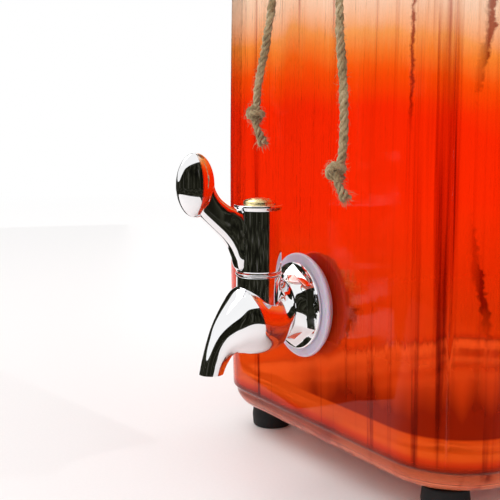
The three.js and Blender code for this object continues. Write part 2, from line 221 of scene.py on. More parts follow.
# Height as a share of 250 mm, and the paint's colour there. The dark stops from 18.5 to 22 mm are a painted
# shade line along the crease
PAINT = [
    (0.056, (0.95, 0.27, 0.13)),
    (0.070, (0.70, 0.14, 0.06)),
    # Painted shade: a dark line along the crease above the heel
    (0.0738, (0.05, 0.008, 0.004)),
    (0.0765, (0.05, 0.004, 0.002)),
    (0.0785, (0.35, 0.012, 0.002)),
    (0.088, (0.80, 0.035, 0.003)),
    (0.095, (1.0, 0.105, 0.007)),
    (0.160, (1.0, 0.075, 0.005)),
    (0.260, (1.0, 0.048, 0.002)),
    (0.360, (1.0, 0.021, 0.0005)),
    (0.535, (1.0, 0.020, 0.0005)),
    (0.590, (1.0, 0.075, 0.002)),
    (0.635, (1.0, 0.25, 0.03)),
    (0.676, (1.0, 0.52, 0.31)),
    (0.710, (1.0, 0.65, 0.45)),
    (0.790, (0.99, 0.95, 0.93)),
]
PAINT_LEAN = 0.015
STREAKS = [
    (0.28, (0.14, 0.02, 0.02)),
    (0.33, (0.42, 0.2, 0.2)),
    (0.40, (0.85, 0.75, 0.7)),
    (0.46, (1.0, 1.0, 1.0)),
]


def painted_foot_shade(tree, apart):
    """How much of the painted shade lies in the band above the thick base: shade seen through the glass,
    painted onto the outer wall. The band has a soft, scalloped top.
    """
    across, height = apart.outputs["X"], apart.outputs["Z"]
    tongues = grained(tree, (95, 95, 6), 1.0)
    tongues = span(tree, tongues, 0.35, 0.65, -0.005, 0.006)
    tilt = span(tree, across, -0.005, 0.07, 0.0, -0.013)
    edge = span(tree, height, 0.0293, 0.0301, 0.0, 1.0)
    uneven = maths(tree, "ADD", maths(tree, "ADD", height, tongues), tilt)
    fading = span(tree, uneven, 0.027, 0.040, 1.0, 0.0)
    along = span(tree, across, -0.014, 0.006, 0.0, 1.0)
    return maths(tree, "MULTIPLY", maths(tree, "MULTIPLY", edge, fading), along)


def paint_run(tree, apart, across, depth, run):
    """How much a long, jagged run of thicker paint darkens one wall."""
    height = apart.outputs["Z"]
    jag = grained(tree, (0.2, 0.2, 190), 5.0, 0.75)
    middle = span(tree, jag, 0.3, 0.7, -0.0009, 0.0009)
    for low, high, shift in run["shifts"]:
        middle = maths(tree, "ADD", middle, span(tree, height, low, high, 0.0, shift))
    off = maths(tree, "SUBTRACT", apart.outputs[across], middle)
    away = maths(tree, "ABSOLUTE", maths(tree, "SUBTRACT", off, run["foot"]))
    width = grained(tree, (300, 300, 260), 3.0, 0.7)
    width = span(tree, width, 0.34, 0.66, *run["widths"])
    inside = maths(tree, "SUBTRACT", width, away)
    seen = span(tree, inside, -0.0006, 0.0003, 0.0, 1.0)
    lower = span(tree, height, *run["fades"], 0.0, 1.0)
    gap = maths(tree, "ABSOLUTE", maths(tree, "SUBTRACT", apart.outputs[depth], run["wall"]))
    near = span(tree, gap, 0.002, 0.004, 1.0, 0.0)
    return maths(tree, "MULTIPLY", maths(tree, "MULTIPLY", seen, lower), near)


def paint_colour(tree, apart):
    """The sprayed colour: by height, then streaks, the painted shade above the base and the two long runs."""
    across, height = apart.outputs["X"], apart.outputs["Z"]
    drift = grained(tree, (28, 28, 7), 3.0)
    drift = span(tree, drift, 0.3, 0.7, -0.006, 0.006)
    lean = maths(tree, "MULTIPLY_ADD", across, PAINT_LEAN, drift)
    side = span(tree, across, 0.060, 0.0755, 0.0, 0.011)
    rise = span(tree, height, 0.02, 0.12, 0.0, 1.0)
    level = maths(tree, "MULTIPLY_ADD", maths(tree, "ADD", lean, side), rise, height)
    paint = ramp(tree, span(tree, level, 0.0, 0.25, 0.0, 1.0), PAINT)
    runs = grained(tree, (210, 210, 3.5), 3.5, 0.62)
    colour = multiplied(tree, 1.0, paint, ramp(tree, runs, STREAKS))
    # Painted shade: the band above the thick base is darkened
    colour = multiplied(tree, painted_foot_shade(tree, apart), colour, PAINTED_FOOT_SHADE)
    front_run = paint_run(tree, apart, "X", "Y", FRONT_RUN)
    side_run = paint_run(tree, apart, "Y", "X", SIDE_RUN)
    return multiplied(tree, maths(tree, "MAXIMUM", front_run, side_run), colour, RUN_SHADE)


def glass_material(name, painted):
    """Pressed glass with upright ripples. The painted side runs from red at the foot to clear at the top."""
    material, tree, shader = new_material(name)
    shader.inputs["Transmission Weight"].default_value = 1.0
    shader.inputs["IOR"].default_value = GLASS_IOR
    shader.inputs["Roughness"].default_value = 0.012
    shader.inputs["Specular Tint"].default_value = (0.5, 0.07, 0.035, 1) if painted else (1, 1, 1, 1)
    shader.inputs["Specular IOR Level"].default_value = 0.1 if painted else 0.5
    streaks = grained(tree, (260, 260, 6), 5.0, 0.6)
    ribs = bump(tree, shader, streaks, 0.7, 0.0005)
    if painted:
        apart = node(tree, "ShaderNodeSeparateXYZ")
        tree.links.new(node(tree, "ShaderNodeTexCoord").outputs["Object"], apart.inputs["Vector"])
        tree.links.new(paint_colour(tree, apart), shader.inputs["Base Color"])
        height = apart.outputs["Z"]
        tree.links.new(span(tree, height, 0.035, 0.09, 0.04, 0.45), ribs.inputs["Strength"])
        body = span(tree, height, 0.03, 0.085, 0.5, 1.0)
        foot = span(tree, height, 0.0185, 0.021, 0.35, 0.0)
        tree.links.new(maths(tree, "ADD", body, foot, clamp=True), shader.inputs["Transmission Weight"])
    else:
        tint = grained(tree, (20, 20, 20))
        clear = ramp(tree, tint, [(0.3, (0.985, 0.99, 0.99)), (0.7, (1.0, 1.0, 1.0))])
        tree.links.new(clear, shader.inputs["Base Color"])
    return material


def painted_shadow_underside_material():
    """The jar's underside: its paint is darkened into a painted shadow, which stands in for the shade under
    the jar.
    """
    material, tree, shader = new_material("underside_glass_painted_shadow")
    shader.inputs["Transmission Weight"].default_value = 1.0
    shader.inputs["IOR"].default_value = GLASS_IOR
    shader.inputs["Roughness"].default_value = 0.1
    cloud = grained(tree, (40, 40, 40))
    # Painted shadow: the underside's dark red stands in for the shade beneath the jar
    shade = ramp(tree, cloud, [(0.35, (0.07, 0.004, 0.004)), (0.7, (0.2, 0.010, 0.006))])
    tree.links.new(shade, shader.inputs["Base Color"])
    return material


def silicone_material(name, colour):
    material, tree, shader = new_material(name)
    shader.inputs["Roughness"].default_value = 0.38
    shader.inputs["Subsurface Weight"].default_value = 0.6
    shader.inputs["Subsurface Scale"].default_value = 0.002
    shader.inputs["Transmission Weight"].default_value = 0.25
    cloud = grained(tree, (300, 300, 300))
    shade = ramp(tree, cloud, [(0.25, [c * 0.9 for c in colour]), (0.75, colour)])
    tree.links.new(shade, shader.inputs["Base Color"])
    bump(tree, shader, cloud, 0.15, 0.0003)
    return material


def rubber_material():
    material, tree, shader = new_material("black_rubber")
    shader.inputs["Specular IOR Level"].default_value = 0.35
    grain = grained(tree, (1400, 1400, 1400))
    shade = ramp(tree, grain, [(0.3, (0.004, 0.004, 0.005)), (0.7, (0.016, 0.015, 0.015))])
    tree.links.new(shade, shader.inputs["Base Color"])
    tree.links.new(span(tree, grain, 0.3, 0.7, 0.55, 0.8), shader.inputs["Roughness"])
    bump(tree, shader, grain, 0.35, 0.0002)
    return material


def wood_material():
    """Oiled hardwood, its grain running along X."""
    material, tree, shader = new_material("oiled_wood")
    vector = place_coordinates(tree, (5, 46, 46))
    warp = noise(tree, vector, 1.3, 6.0, 0.6)
    rings = node(tree, "ShaderNodeTexWave", Scale=0.55, Distortion=9.0, Detail=3.0)
    rings.wave_type = "BANDS"
    rings.bands_direction = "Y"
    tree.links.new(vector, rings.inputs["Vector"])
    blend = node(tree, "ShaderNodeMix", data_type="FLOAT", Factor=0.45)
    tree.links.new(rings.outputs["Fac"], blend.inputs[2])
    tree.links.new(warp, blend.inputs[3])
    shade = ramp(tree, blend.outputs[0], [
        (0.15, (0.13, 0.055, 0.022)), (0.45, (0.29, 0.14, 0.06)), (0.8, (0.46, 0.26, 0.12)),
    ])
    pores = grained(tree, (60, 900, 900), 2.0)
    tree.links.new(shade, shader.inputs["Base Color"])
    tree.links.new(span(tree, pores, 0.35, 0.65, 0.5, 0.34), shader.inputs["Roughness"])
    bump(tree, shader, pores, 0.25, 0.0002)
    return material


def jute_material():
    material, tree, shader = new_material("jute")
    shader.inputs["Roughness"].default_value = 0.9
    shader.inputs["Sheen Weight"].default_value = 0.25
    fine = grained(tree, (2600, 2600, 900), 3.0)
    coarse = grained(tree, (240, 240, 240), 2.0)
    mixed = node(tree, "ShaderNodeMix", data_type="FLOAT", Factor=0.5)
    tree.links.new(fine, mixed.inputs[2])
    tree.links.new(coarse, mixed.inputs[3])
    shade = ramp(tree, mixed.outputs[0], [
        (0.3, (0.12, 0.075, 0.03)), (0.48, (0.36, 0.26, 0.13)), (0.72, (0.66, 0.53, 0.33)),
    ])
    tree.links.new(shade, shader.inputs["Base Color"])
    bump(tree, shader, fine, 0.7, 0.0003)
    return material


PAINTED_GLASS = glass_material("painted_glass", painted=True)
CLEAR_GLASS = glass_material("clear_glass", painted=False)
UNDER_GLASS_PAINTED_SHADOW = painted_shadow_underside_material()
CHROME = metal("chrome", (0.93, 0.93, 0.94), 0.02, 0.03, 1.0, (60, 60, 60))
STEEL = metal("plain_steel", (0.62, 0.62, 0.64), 0.22, 0.12, 1.0, (500, 500, 500))
BRASS = metal("satin_brass", (0.86, 0.70, 0.36), 0.2, 0.15, 1.0, (900, 900, 900))
SEAL = silicone_material("milky_silicone", (0.86, 0.76, 0.90))
GASKET = silicone_material("clear_gasket", (0.88, 0.88, 0.86))
RUBBER = rubber_material()
WOOD = wood_material()
JUTE = jute_material()

# ---------------------------------------------------------------- mesh helpers


def mesh_piece(name, points, faces, materials, sharp=35.0, face_materials=None):
    """An object from points in millimetres, with its faces turned outwards."""
    mesh = bpy.data.meshes.new(name)
    mesh.from_pydata([Vector(p) * MM for p in points], [], faces)
    for material in materials if isinstance(materials, (list, tuple)) else [materials]:
        mesh.materials.append(material)
    if face_materials:
        mesh.polygons.foreach_set("material_index", face_materials)
    mesh.validate()
    piece = bpy.data.objects.new(name, mesh)
    bpy.context.collection.objects.link(piece)
    face_outwards(piece)
    smooth(piece, sharp)
    return piece


def face_outwards(piece):
    work = bmesh.new()
    work.from_mesh(piece.data)
    bmesh.ops.recalc_face_normals(work, faces=work.faces)
    work.to_mesh(piece.data)
    work.free()


def smooth(piece, sharp):
    """Smooth shading, with edges sharper than an angle in degrees left crisp."""
    piece.data.polygons.foreach_set("use_smooth", [True] * len(piece.data.polygons))
    work = bmesh.new()
    work.from_mesh(piece.data)
    for edge in work.edges:
        edge.smooth = edge.calc_face_angle(0.0) < math.radians(sharp)
    work.to_mesh(piece.data)
    work.free()


def apply_modifiers(piece):
    depsgraph = bpy.context.evaluated_depsgraph_get()
    made = bpy.data.meshes.new_from_object(piece.evaluated_get(depsgraph))
    old = piece.data
    piece.modifiers.clear()
    piece.data = made
    bpy.data.meshes.remove(old)


def boolean(piece, tool, operation, sharp=35.0):
    """Joins a tool to a piece or cuts it away, and removes the tool."""
    modifier = piece.modifiers.new("cut", "BOOLEAN")
    modifier.object = tool
    modifier.operation = operation
    modifier.solver = "EXACT"
    apply_modifiers(piece)
    bpy.data.objects.remove(tool)
    smooth(piece, sharp)
    return piece


FILLET_SUPPORT = 0.08


def fillet(corners, steps=5):
    """A profile through [radius, height, rounding] corners, each rounded by its own radius."""
    flat = [Vector(c[:2]) for c in corners]
    points = []
    for i, corner in enumerate(flat):
        rounding = corners[i][2] if len(corners[i]) > 2 else 0
        if not rounding or i in (0, len(flat) - 1):
            points.append(tuple(corner))
            continue
        before = (flat[i - 1] - corner).normalized()
        after = (flat[i + 1] - corner).normalized()
        half_angle = before.angle(after) / 2
        reach = min(
            rounding / math.tan(half_angle),
            (flat[i - 1] - corner).length * 0.46,
            (flat[i + 1] - corner).length * 0.46,
        )
        start = corner + before * reach
        end = corner + after * reach
        points.append(tuple(start + before * min(FILLET_SUPPORT, reach * 0.02 + 0.04)))
        for k in range(steps + 1):
            t = k / steps
            points.append(tuple(start * (1 - t) ** 2 + corner * 2 * t * (1 - t) + end * t**2))
        points.append(tuple(end + after * min(FILLET_SUPPORT, reach * 0.02 + 0.04)))
    return points


def arc(centre, radius, start, end, steps):
    """Points of a circular arc between two angles in degrees."""
    made = []
    for i in range(steps + 1):
        angle = math.radians(start + (end - start) * i / steps)
        made.append((centre[0] + radius * math.cos(angle), centre[1] + radius * math.sin(angle)))
    return made


def revolve(profile, segments, closed=False):
    """Points and faces of a profile of (radius, height) turned about Z. A closed profile is a ring."""
    points, faces, rows = [], [], []
    for radius, height in profile:
        if radius < 1e-6:
            rows.append([len(points)] * segments)
            points.append((0, 0, height))
            continue
        rows.append(list(range(len(points), len(points) + segments)))
        for i in range(segments):
            angle = 2 * math.pi * i / segments
            points.append((radius * math.cos(angle), radius * math.sin(angle), height))
    pairs = list(zip(rows, rows[1:]))
    if closed:
        pairs.append((rows[-1], rows[0]))
    for low, high in pairs:
        for i in range(segments):
            j = (i + 1) % segments
            corners = [low[i], low[j], high[j], high[i]]
            unique = list(dict.fromkeys(corners))
            if len(unique) > 2:
                faces.append(unique)
    return points, faces


def upright(points, x, y, z):
    """Moves turned points so that their axis stands at (x, y) and height 0 is at z."""
    return [(p[0] + x, p[1] + y, p[2] + z) for p in points]


def forward(points):
    """Lays turned points along the tap's inlet, their height running forward from the datum plane."""
    return [(p[0], DATUM_Y - p[2], INLET_Z + p[1]) for p in points]


def catmull(points, t):
    """A point on a smooth curve through the points, at t from 0 to 1."""
    last = len(points) - 1
    place = min(max(t, 0.0), 1.0) * last
    i = min(int(place), last - 1)
    u = place - i
    p1, p2 = Vector(points[i]), Vector(points[i + 1])
    p0 = Vector(points[i - 1]) if i > 0 else p1 * 2 - p2
    p3 = Vector(points[i + 2]) if i + 2 <= last else p2 * 2 - p1
    return 0.5 * (
        2 * p1 + (p2 - p0) * u + (2 * p0 - 5 * p1 + 4 * p2 - p3) * u**2
        + (3 * p1 - p0 - 3 * p2 + p3) * u**3
    )


def resample(points, step):
    """Points a step apart along the smooth curve through the given ones."""
    fine = [catmull(points, i / (len(points) * 24)) for i in range(len(points) * 24 + 1)]
    lengths = [0.0]
    for a, b in zip(fine, fine[1:]):
        lengths.append(lengths[-1] + (b - a).length)
    count = max(2, round(lengths[-1] / step))
    made, k = [], 0
    for i in range(count + 1):
        target = lengths[-1] * i / count
        while k < len(fine) - 2 and lengths[k + 1] < target:
            k += 1
        share = (target - lengths[k]) / max(lengths[k + 1] - lengths[k], 1e-9)
        made.append(fine[k].lerp(fine[k + 1], min(max(share, 0), 1)))
    return made


def frames_along(path):
    """The two directions across a path at each of its points, carried along without twisting."""
    tangents = []
    for i in range(len(path)):
        a, b = path[max(i - 1, 0)], path[min(i + 1, len(path) - 1)]
        tangents.append((b - a).normalized())
    side = tangents[0].orthogonal().normalized()
    made = []
    for tangent in tangents:
        side = (side - tangent * side.dot(tangent)).normalized()
        made.append((side, tangent.cross(side)))
    return made


def tube(path, radius_at, sides, closed=False):
    """Points and faces of a tube along a path. radius_at gives its radius at a share of its length."""
    points, faces = [], []
    last = len(path) - 1
    for i, (centre, (side, up)) in enumerate(zip(path, frames_along(path))):
        radius = radius_at(i / last)
        for k in range(sides):
            angle = 2 * math.pi * k / sides
            points.append(centre + side * radius * math.cos(angle) + up * radius * math.sin(angle))
    for i in range(last):
        for k in range(sides):
            m = (k + 1) % sides
            faces.append([i * sides + k, i * sides + m, (i + 1) * sides + m, (i + 1) * sides + k])
    faces.append(list(range(sides)))
    faces.append(list(range(last * sides, (last + 1) * sides)))
    return points, faces


def merged(parts):
    """Several (points, faces) shells as one."""
    points, faces = [], []
    for some_points, some_faces in parts:
        base = len(points)
        points += some_points
        faces += [[base + i for i in face] for face in some_faces]
    return points, faces


def placed(piece, body, slot, *nodes_replaced):
    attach(piece, body)
    if nodes_replaced:
        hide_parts(*nodes_replaced)
    return piece


# ---------------------------------------------------------------- twine
# The two hanging ends, from the tie at the neck to the knots above their frayed tails.

TWINE = 3.0
LEFT_ROUTE = [
    (-5.2, -66, 226), (-8, -68.6, 220.5), (-10.8, -72, 213.5), (-13.3, -75.6, 206.5),
    (-15.4, -77.6, 199), (-17, -78.3, 191), (-18.9, -78.2, 181), (-20.9, -78.2, 171.5),
    (-23.3, -78.2, 163), (-25.8, -78.2, 155.5), (-28.2, -78.2, 149), (-30.3, -78.2, 143.5),
    (-31.4, -78.3, 139), (-31.3, -78.6, 135.4), (-30.6, -79.2, 132.6),
]
RIGHT_ROUTE = [
    (6.2, -66, 226), (9.3, -68.6, 220.5), (12.4, -72, 213.5), (15, -75.6, 206.5),
    (17, -77.6, 199), (18.6, -78.3, 191), (20.2, -78.2, 180), (21.4, -78.2, 168),
    (22.4, -78.2, 155), (23.8, -78.2, 145), (24.8, -78.2, 134.5), (25.2, -78.3, 125),
    (25, -78.6, 116.6), (24.4, -79.2, 113.8),
]
PLIES = 3
PLY_RADIUS = 0.78
PLY_OFFSET = 0.76
PLY_PITCH = 8.5


def fibrous_tube(path, radius, sides=10):
    """A ply whose surface is ridged along its length, as spun fibre is."""
    ridges = [random.uniform(-0.16, 0.16) for _ in range(sides)]
    points, faces = tube(path, lambda t: radius, sides)
    for i, centre in enumerate(path):
        for k in range(sides):
            ridges[k] = max(-0.24, min(0.24, ridges[k] + random.uniform(-0.08, 0.08)))
            place = i * sides + k
            points[place] = centre + (points[place] - centre) * (1 + ridges[k])
    return points, faces


def rope_shells(path, diameter=TWINE, fray=0.0):
    """Twisted plies along a path of points in millimetres. Fray spreads the plies towards the end."""
    scale = diameter / TWINE
    frames = frames_along(path)
    travelled = [0.0]
    for a, b in zip(path, path[1:]):
        travelled.append(travelled[-1] + (b - a).length)
    swelling = [random.uniform(0.88, 1.1) for _ in range(len(path) // 6 + 3)]
    shells = []
    for ply in range(PLIES):
        strand = []
        for i, (centre, (side, up)) in enumerate(zip(path, frames)):
            share = travelled[i] / travelled[-1]
            angle = 2 * math.pi * (travelled[i] / (PLY_PITCH * scale) + ply / PLIES)
            thick = swelling[i // 6] + (swelling[i // 6 + 1] - swelling[i // 6]) * (i % 6) / 6
            offset = PLY_OFFSET * scale * thick * (1 + fray * share**2)
            strand.append(centre + side * offset * math.cos(angle) + up * offset * math.sin(angle))
        shells.append(fibrous_tube(strand, PLY_RADIUS * scale))
    return shells


def hair_shells(path, count, reach, radius=0.065):
    """Loose fibres standing off a path."""
    frames = frames_along(path)
    shells = []
    for _ in range(count):
        i = random.randrange(1, len(path) - 1)
        side, up = frames[i]
        along = side.cross(up)
        angle = random.uniform(0, 2 * math.pi)
        out = side * math.cos(angle) + up * math.sin(angle)
        sweep = along * random.uniform(-1.2, 1.2)
        start = path[i] + out * TWINE * 0.4
        length = random.uniform(0.4, 1.0) * reach
        bend = out.cross(along) * random.uniform(-0.5, 0.5) * length
        points = [
            start,
            start + (out * 0.6 + sweep * 0.5).normalized() * length * 0.5,
            start + (out * 0.5 + sweep).normalized() * length + bend,
        ]
        shells.append(tube(points, lambda t: radius * (1 - 0.7 * t), 3))
    return shells


def frayed_end(path, count, reach):
    """Fibres that fan out of the cut end of a path."""
    end = path[-1]
    along = (path[-1] - path[-3]).normalized()
    shells = []
    for _ in range(count):
        spread = Vector((random.gauss(0, 0.42), random.gauss(0, 0.42), random.gauss(0, 0.42)))
        start = end + spread * 1.5 - along * random.uniform(0.6, 2.2)
        out = (along + spread).normalized()
        length = random.uniform(0.5, 1.0) * reach
        curl = Vector((random.gauss(0, 0.3), random.gauss(0, 0.3), random.gauss(0, 0.3)))
        points = [start, start + out * length * 0.5, start + out * length + curl * length * 0.4]
        shells.append(tube(points, lambda t: 0.085 * (1 - 0.6 * t), 4))
    return shells


def to_frame(points):
    """Route points of the jar's own axis, in the frame."""
    return [Vector((x, y + JAR_Y, z)) for x, y, z in points]


def hanging_end(name, route, cad_node):
    random.seed(name)
    path = resample(to_frame(route), 0.8)
    points, faces = merged(rope_shells(path) + hair_shells(path, 420, 2.4))
    piece = mesh_piece(name, points, faces, JUTE, sharp=80)
    return placed(piece, "jar", "jute_twine", cad_node), path


def trefoil(centre, size, tilt):
    """A pulled-tight overhand knot's curve about a centre."""
    turn = Matrix.Rotation(tilt, 3, "Y") @ Matrix.Rotation(0.5, 3, "X")
    points = []
    for i in range(73):
        t = 2 * math.pi * i / 72
        raw = Vector((
            (math.sin(t) + 2 * math.sin(2 * t)) / 3,
            0.62 * math.sin(3 * t),
            (math.cos(t) - 2 * math.cos(2 * t)) / 3,
        ))
        points.append(centre + turn @ Vector((raw.x * size.x, raw.y * size.y, raw.z * size.z)))
    return points


def twine_knot(name, centre, size, tilt, tails, cad_node):
    random.seed(name)
    middle = to_frame([centre])[0]
    loop = resample(trefoil(middle, Vector(size), tilt), 0.7)
    shells = rope_shells(loop, 2.4) + hair_shells(loop, 260, 2.6)
    for tail in tails:
        path = resample(to_frame(tail), 0.7)
        shells += rope_shells(path, 2.4, fray=1.6) + hair_shells(path, 60, 3.0)
        shells += frayed_end(path, 46, 3.6)
    points, faces = merged(shells)
    piece = mesh_piece(name, points, faces, JUTE, sharp=80)
    return placed(piece, "jar", "jute_twine", cad_node)


def make_twine():
    left, left_path = hanging_end("left_twine", LEFT_ROUTE, "twine_left_end")
    right, right_path = hanging_end("right_twine", RIGHT_ROUTE, "twine_right_end")
    left_knot = twine_knot(
        "left_twine_knot", (-29.6, -80.2, 130.4), (2.9, 2.9, 3.1), 0.3,
        [[(-29.6, -80.4, 128), (-28.2, -80.2, 125), (-26.6, -79.6, 122), (-25.4, -79.2, 119.6)]],
        "twine_left_knot",
    )
    right_knot = twine_knot(
        "right_twine_knot", (23.8, -80.2, 111.4), (2.8, 2.9, 3.2), -0.2,
        [[(24.2, -80.4, 109), (25.6, -80.2, 106.5), (27, -79.6, 104.2), (28, -79.2, 102.4)]],
        "twine_right_knot",
    )


make_twine()

# ---------------------------------------------------------------- the jar

JAR_HALF = 75.9
JAR_FULLEST_Z = 105
JAR_BOW = 0.9
JAR_CORNER = 0.33
JAR_WALL = 5.2
CREASE_Z = 18.6
JAR_FLOOR = 21.5
JAR_INNER_HEEL = 9
SHOULDER_Z = 194
NECK_Z = 222
NECK_RADIUS = 54
MOUTH_RADIUS = 49
RIM_RADIUS = 57
RIM_Z = 250
JAR_COLUMNS = 240
CORNER_CROWDING = 0.13
SEAM_HEIGHT = 0.8


def wall_half(z):
    return JAR_HALF - JAR_BOW * ((z - JAR_FULLEST_Z) / 85) ** 2


def smoothstep(x, low, high):
    t = min(max((x - low) / (high - low), 0.0), 1.0)
    return t * t * (3 - 2 * t)


def jar_reach(angle, half, z):
    """Distance from the axis to a rounded square, which becomes a circle above the shoulder."""
    roundness = smoothstep(z, SHOULDER_Z - 6, NECK_Z - 4)
    corner = half * (JAR_CORNER * (1 - roundness) + roundness)
    centre = half - corner
    along = max(abs(math.cos(angle)), abs(math.sin(angle)))
    across = min(abs(math.cos(angle)), abs(math.sin(angle)))
    if across / along * half <= centre:
        return half / along
    total = centre * (along + across)
    return total + math.sqrt(total * total - 2 * centre * centre + corner * corner)


def ripple(angle, z):
    """Upright waves left by the mould, about a quarter of a millimetre deep."""
    return (
        0.10 * math.sin(23 * angle + 0.9 + 0.004 * z)
        + 0.07 * math.sin(37 * angle + 2.1 - 0.006 * z)
        + 0.05 * math.sin(61 * angle + 0.3 + 0.010 * z)
    )


def jar_profiles():
    underside = jar_low.z
    inner_heel_z = JAR_FLOOR + JAR_INNER_HEEL
    inner_heel_x = wall_half(inner_heel_z) - JAR_WALL - JAR_INNER_HEEL
    crease = wall_half(CREASE_Z)
    wall = [CREASE_Z + 1.6 + (SHOULDER_Z - CREASE_Z - 1.6) * i / 24 for i in range(25)]
    heel = [
        (64, underside, 0), (68.4, underside + 0.5, 0), (71.6, underside + 2.3, 0),
        (73.4, underside + 5.2, 0), (crease - 1.1, CREASE_Z - 0.9, 0),
    ]
    shoulder = [(wall_half(SHOULDER_Z), SHOULDER_Z), (73.6, 203), (69, 211), (61, 217.5),
                (55.4, NECK_Z + 1), (NECK_RADIUS, NECK_Z + 6), (NECK_RADIUS, RIM_Z - 10)]
    smooth_shoulder = [catmull([(r, z, 0) for r, z in shoulder], i / 36)[:2] for i in range(1, 37)]
    outer = (
        [(0, underside + 2.2), (20, underside + 1.6), (46, underside + 0.2), (52, underside)]
        + [tuple(catmull(heel, i / 16)[:2]) for i in range(17)]
        + [(crease - 0.95, CREASE_Z - 0.6), (crease - 0.5, CREASE_Z - 0.15), (crease - 0.12, CREASE_Z + 0.25),
           (crease - 0.02, CREASE_Z + 0.7)]
        + [(wall_half(z), z) for z in wall]
        + [tuple(p) for p in smooth_shoulder]
        + arc((RIM_RADIUS - 4, RIM_Z - 4), 4, -50, 90, 10)
    )
    inner_wall = [SHOULDER_Z - 3 - (SHOULDER_Z - 3 - inner_heel_z) * i / 24 for i in range(25)]
    inner_shoulder = [(MOUTH_RADIUS, NECK_Z + 4), (52, NECK_Z - 4), (61, 209), (68, 200),
                      (wall_half(SHOULDER_Z - 3) - JAR_WALL, SHOULDER_Z - 3)]
    smooth_inner = [catmull([(r, z, 0) for r, z in inner_shoulder], i / 24)[:2] for i in range(25)]
    inner = (
        arc((MOUTH_RADIUS + 1.5, RIM_Z - 1.5), 1.5, 90, 180, 4)
        + [tuple(p) for p in smooth_inner]
        + [(wall_half(z) - JAR_WALL, z) for z in inner_wall[1:]]
        + arc((inner_heel_x, inner_heel_z), JAR_INNER_HEEL, -9, -90, 10)
        + [(30, JAR_FLOOR - 0.4), (0, JAR_FLOOR - 1)]
    )
    return outer, inner


def jar_angles():
    """Column angles, crowded into the corners, with a close group at each mould seam."""
    angles = []
    for i in range(JAR_COLUMNS):
        turn = 2 * math.pi * i / JAR_COLUMNS
        angles.append(turn + CORNER_CROWDING * math.sin(4 * turn))
    for quarter in range(4):
        corner = math.pi / 4 + quarter * math.pi / 2
        angles += [corner + offset for offset in (-0.008, -0.004, 0.004, 0.008)]
    return sorted(set(round(a % (2 * math.pi), 6) for a in angles))


def seam(angle):
    """The mould's seam stands up along the middle of each corner."""
    off = abs((angle % (math.pi / 2)) - math.pi / 4)
    return SEAM_HEIGHT * max(0.0, 1 - off / 0.006)


def make_jar():
    outer, inner = jar_profiles()
    angles = jar_angles()
    profile = outer + inner
    points, rows = [], []
    for k, (half, z) in enumerate(profile):
        if half < 1e-6:
            rows.append([len(points)] * len(angles))
            points.append((0, JAR_Y, z))
            continue
        rows.append(list(range(len(points), len(points) + len(angles))))
        outside = k < len(outer)
        wall_share = smoothstep(z, 26, 50) * (1 - smoothstep(z, SHOULDER_Z - 20, SHOULDER_Z + 8))
        for angle in angles:
            reach = jar_reach(angle, half, z)
            if outside:
                body_share = smoothstep(z, 19, 22) * (1 - smoothstep(z, SHOULDER_Z - 8, SHOULDER_Z + 12))
                reach += seam(angle) * body_share + 0.3 * ripple(angle + 0.7, z) * wall_share
            else:
                reach += ripple(angle, z) * wall_share
            points.append((reach * math.cos(angle), reach * math.sin(angle) + JAR_Y, z))
    faces, face_materials = [], []
    for k, (low, high) in enumerate(zip(rows, rows[1:])):
        for i in range(len(angles)):
            j = (i + 1) % len(angles)
            corners = list(dict.fromkeys([low[i], low[j], high[j], high[i]]))
            if len(corners) > 2:
                faces.append(corners)
                # The underside's middle rows take the glass with the painted shadow, the rest of the outside
                # the painted glass, the inside the clear glass
                face_materials.append(2 if k < 3 else 0 if k < len(outer) - 1 else 1)
    jar = mesh_piece("jar", points, faces, [PAINTED_GLASS, CLEAR_GLASS, UNDER_GLASS_PAINTED_SHADOW], 50, face_materials)
    hole_points, hole_faces = revolve([(0, -12), (8.7, -12), (8.7, 6), (0, 6)], 64)
    hole = mesh_piece("hole", forward(hole_points), hole_faces, CLEAR_GLASS)
    boolean(jar, hole, "DIFFERENCE", 50)
    return placed(jar, "jar", "jar_glass", "glass_jar")


make_jar()


def make_feet():
    for side in ("front_left", "front_right", "back_left", "back_right"):
        low, high = node_box("foot_" + side)
        radius = (high.x - low.x) / 2
        height = high.z - low.z
        profile = fillet([
            (0, 0.6), (radius - 4, 0.6, 0.4), (radius - 3.4, 0, 0.3), (radius - 0.4, 0, 1.2),
            (radius, height * 0.5, 6), (radius - 0.6, height, 0.9), (0, height),
        ])
        points, faces = revolve(profile, 64)
        centre = (low + high) / 2
        foot = mesh_piece("rubber_foot_" + side, upright(points, centre.x, centre.y, 0), faces, RUBBER)
        placed(foot, "jar", "foot_rubber", "foot_" + side)


make_feet()

# ---------------------------------------------------------------- the tap
# Stations of the tap's swelling shapes: their upper and lower points as (forward, height), and half width.

